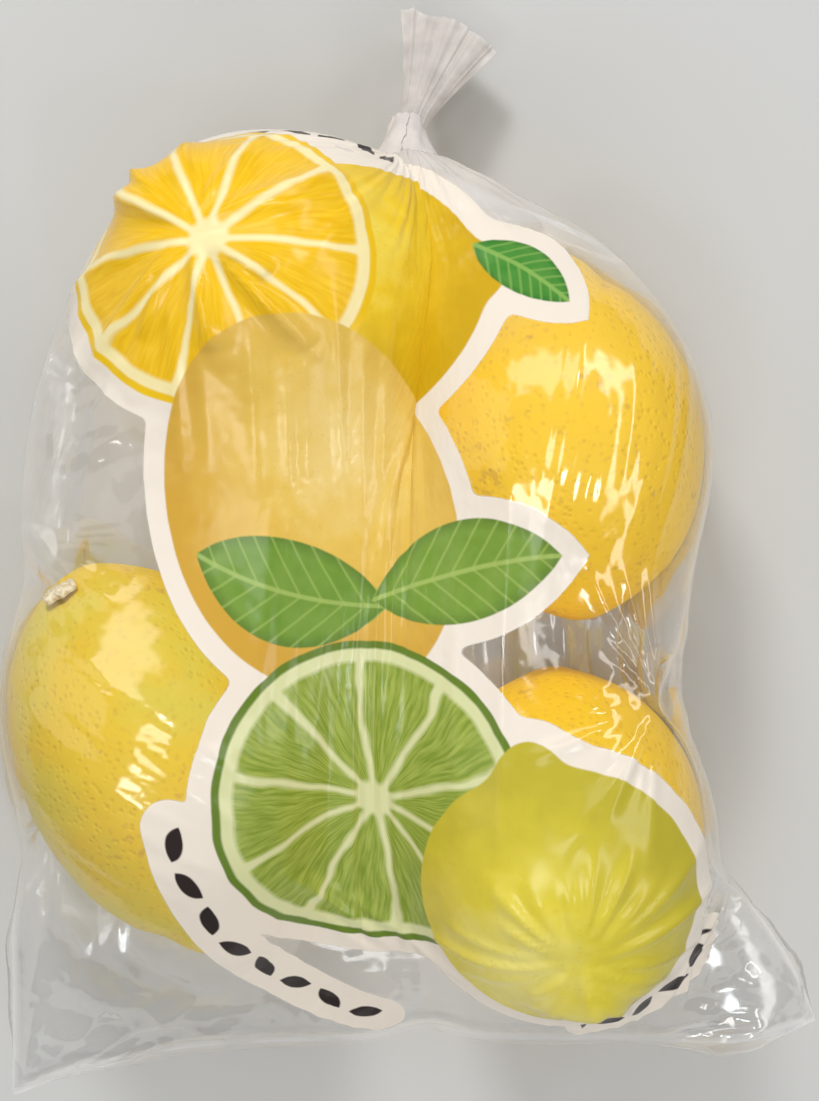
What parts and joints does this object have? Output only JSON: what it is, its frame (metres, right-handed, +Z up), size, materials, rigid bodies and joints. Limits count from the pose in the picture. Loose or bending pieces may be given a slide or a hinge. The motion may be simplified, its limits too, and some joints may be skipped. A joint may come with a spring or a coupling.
{
  "type": "bag of lemons",
  "caption": "Clear printed film bag of whole lemons, gathered and taped at the neck, lying on its back with the print up.",
  "frame": {"origin": "on the floor, under the middle of the bag's outline as it lies", "axes": "+Y from the bottom seam to the neck, +X to the right of the printed face, +Z up, out of the printed face"},
  "size_m": [0.1932, 0.2606, 0.0701],
  "materials": {
    "film_bag": "clear glossy film printed in white, yellow and green, with yellow lemons showing through",
    "neck_tape": "white satin tape"
  },
  "bodies": {
    "root": {"film_bag": "film_bag", "neck_tape": "neck_tape"}
  },
  "joints": []
}
